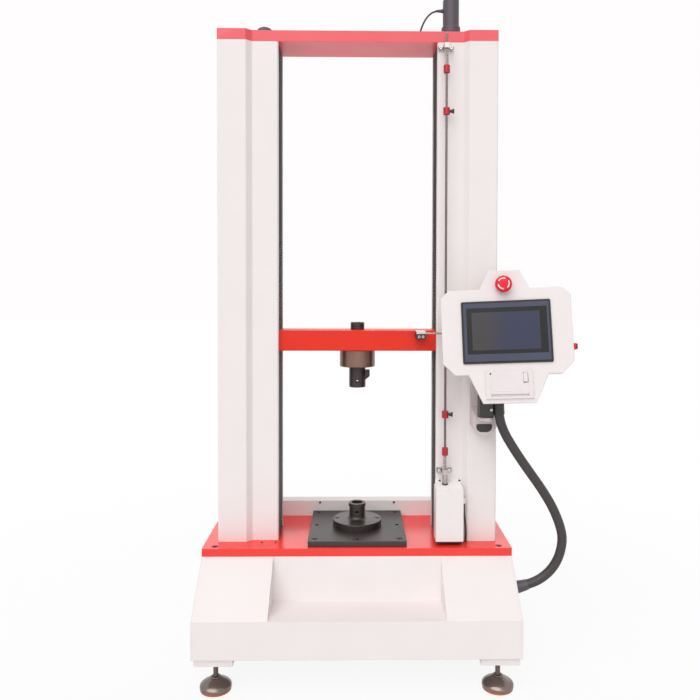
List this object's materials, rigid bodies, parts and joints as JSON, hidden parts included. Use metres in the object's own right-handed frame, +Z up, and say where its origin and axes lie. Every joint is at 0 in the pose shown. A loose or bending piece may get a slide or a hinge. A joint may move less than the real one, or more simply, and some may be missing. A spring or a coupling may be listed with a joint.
{
  "type": "universal testing machine",
  "caption": "Floor-standing double-column universal testing machine with a screw-driven crosshead, load cell, table, limit rod and a swivelling control panel.",
  "frame": {"origin": "centre of the table plate's top face, on the load axis; the floor is at Z = -0.324", "axes": "+X to the operator's right, +Y away from the operator, +Z up along the load axis"},
  "size_m": [0.9127, 0.4279, 1.738],
  "materials": {
    "white_paint": "textured powder coat, warm white",
    "red_paint": "satin red enamel",
    "collar_red": "red anodised",
    "black_oxide": "black oxide, satin",
    "ground_steel": "ground steel",
    "black_plastic": "matt black moulding",
    "bellows_cloth": "black coated cloth, pleated",
    "black_rubber": "black jacket",
    "grey_plastic": "light grey moulding",
    "white_plastic": "white moulding",
    "bezel_blue": "blue-grey moulding",
    "screen_black": "dark display window",
    "signal_red": "signal red moulding",
    "drive_grey": "cast housing"
  },
  "bodies": {
    "machine_frame": {"base_frame": "white_paint", "front_cover": "white_paint", "side_panels": "white_paint", "rear_cover": "white_paint", "left_column_cover": "white_paint", "right_column_cover": "white_paint", "limit_switch_box": "white_paint", "base_plate": "red_paint", "top_plate": "red_paint", "table_plate": "black_oxide", "lower_adapter": "black_oxide", "plate_screws": "black_oxide", "cover_screws": "black_oxide", "guide_posts": "ground_steel", "rod_springs": "ground_steel", "rod_guides": "ground_steel", "screw_bearings": "ground_steel", "bearing_cap": "black_plastic", "encoder": "black_plastic", "hose_gland": "black_plastic", "mount_insert": "black_plastic", "upper_bellows": "bellows_cloth", "lower_bellows": "bellows_cloth", "hose": "black_rubber", "encoder_cable": "black_rubber", "limit_cable": "black_rubber", "drive_belt": "black_rubber", "panel_mount": "grey_plastic", "drive_motor": "drive_grey", "control_unit": "drive_grey"},
    "crosshead_group": {"crosshead": "red_paint", "nuts_and_bushes": "ground_steel", "load_cell": "ground_steel", "load_cell_bolt": "black_oxide", "upper_adapter": "black_oxide", "trip_bracket": "black_oxide", "trip_rod": "ground_steel"},
    "left_screw": {"left_ball_screw": "ground_steel"},
    "right_screw": {"right_ball_screw": "ground_steel"},
    "limit_rod_group": {"limit_rod": "ground_steel", "rod_collars": "collar_red"},
    "upper_stop": {"upper_stop_collar": "collar_red"},
    "lower_stop": {"lower_stop_collar": "collar_red"},
    "upper_knob": {"upper_thumbscrew": "black_plastic"},
    "lower_knob": {"lower_thumbscrew": "black_plastic"},
    "knuckle": {"swivel_knuckle": "black_oxide"},
    "panel": {"panel_shell": "white_paint", "panel_back": "white_paint", "screen_rim": "black_plastic", "screen_bezel": "bezel_blue", "screen_glass": "screen_black", "printer_frame": "white_plastic"},
    "door": {"printer_door": "white_plastic"},
    "latch": {"printer_latch": "white_plastic"},
    "estop": {"estop_button": "signal_red"},
    "rocker": {"rocker_switch": "signal_red"},
    "foot_fl": {"front_left_foot": "ground_steel"},
    "foot_fr": {"front_right_foot": "ground_steel"},
    "foot_rl": {"rear_left_foot": "ground_steel"},
    "foot_rr": {"rear_right_foot": "ground_steel"}
  },
  "joints": [
    {"name": "crosshead_slide", "type": "slide", "parent": "machine_frame", "child": "crosshead_group", "axis": [0, 0, 1], "range_m": [-0.185, 0.47], "deforming": ["upper_bellows", "lower_bellows"]},
    {"name": "left_screw_spin", "type": "hinge", "parent": "machine_frame", "child": "left_screw", "pos_m": [-0.247, 0, 0.5], "axis": [0, 0, 1], "continuous": true},
    {"name": "right_screw_spin", "type": "hinge", "parent": "machine_frame", "child": "right_screw", "pos_m": [0.247, 0, 0.5], "axis": [0, 0, 1], "continuous": true},
    {"name": "limit_rod_slide", "type": "slide", "parent": "machine_frame", "child": "limit_rod_group", "axis": [0, 0, 1], "range_m": [-0.006, 0.006], "stiffness_N_per_m": 3000, "deforming": ["rod_springs"]},
    {"name": "upper_stop_slide", "type": "slide", "parent": "limit_rod_group", "child": "upper_stop", "axis": [0, 0, 1], "range_m": [0, 0.08]},
    {"name": "lower_stop_slide", "type": "slide", "parent": "limit_rod_group", "child": "lower_stop", "axis": [0, 0, 1], "range_m": [-0.07, 0]},
    {"name": "upper_knob_turn", "type": "hinge", "parent": "upper_stop", "child": "upper_knob", "pos_m": [0.2245, -0.096, 1.087], "axis": [1, 0, 0], "continuous": true},
    {"name": "lower_knob_turn", "type": "hinge", "parent": "lower_stop", "child": "lower_knob", "pos_m": [0.2245, -0.096, 0.316], "axis": [1, 0, 0], "continuous": true},
    {"name": "panel_swivel", "type": "hinge", "parent": "machine_frame", "child": "knuckle", "pos_m": [0.318, -0.154, 0.345], "axis": [0, 0, 1], "range_deg": [-3, 22], "deforming": ["hose"]},
    {"name": "panel_tilt", "type": "hinge", "parent": "knuckle", "child": "panel", "pos_m": [0.31827, -0.17483, 0.38621], "axis": [0.9872, -0.1523, 0.0469], "range_deg": [-3, 14]},
    {"name": "printer_door_open", "type": "hinge", "parent": "panel", "child": "door", "pos_m": [0.35604, -0.25021, 0.39119], "axis": [0.9872, -0.1523, 0.0469], "range_deg": [0, 90]},
    {"name": "printer_latch_lift", "type": "hinge", "parent": "panel", "child": "latch", "pos_m": [0.39295, -0.2514, 0.42059], "axis": [0.9872, -0.1523, 0.0469], "range_deg": [0, 25]},
    {"name": "estop_press", "type": "slide", "parent": "panel", "child": "estop", "axis": [-0.1581, -0.9728, 0.1692], "range_m": [-0.005, 0], "stiffness_N_per_m": 1500, "springref_m": 0.002},
    {"name": "rocker_tip", "type": "hinge", "parent": "panel", "child": "rocker", "pos_m": [0.50741, -0.22975, 0.50134], "axis": [-0.1581, -0.9728, 0.1692], "range_deg": [-8, 8]},
    {"name": "foot_fl_level", "type": "slide", "parent": "machine_frame", "child": "foot_fl", "axis": [0, 0, 1], "range_m": [-0.015, 0.012]},
    {"name": "foot_fr_level", "type": "slide", "parent": "machine_frame", "child": "foot_fr", "axis": [0, 0, 1], "range_m": [-0.015, 0.012]},
    {"name": "foot_rl_level", "type": "slide", "parent": "machine_frame", "child": "foot_rl", "axis": [0, 0, 1], "range_m": [-0.015, 0.012]},
    {"name": "foot_rr_level", "type": "slide", "parent": "machine_frame", "child": "foot_rr", "axis": [0, 0, 1], "range_m": [-0.015, 0.012]}
  ],
  "couplings": [
    {"joint": "left_screw_spin", "follows": "crosshead_slide", "rad_per_m": 628.32},
    {"joint": "right_screw_spin", "follows": "crosshead_slide", "rad_per_m": 628.32}
  ]
}
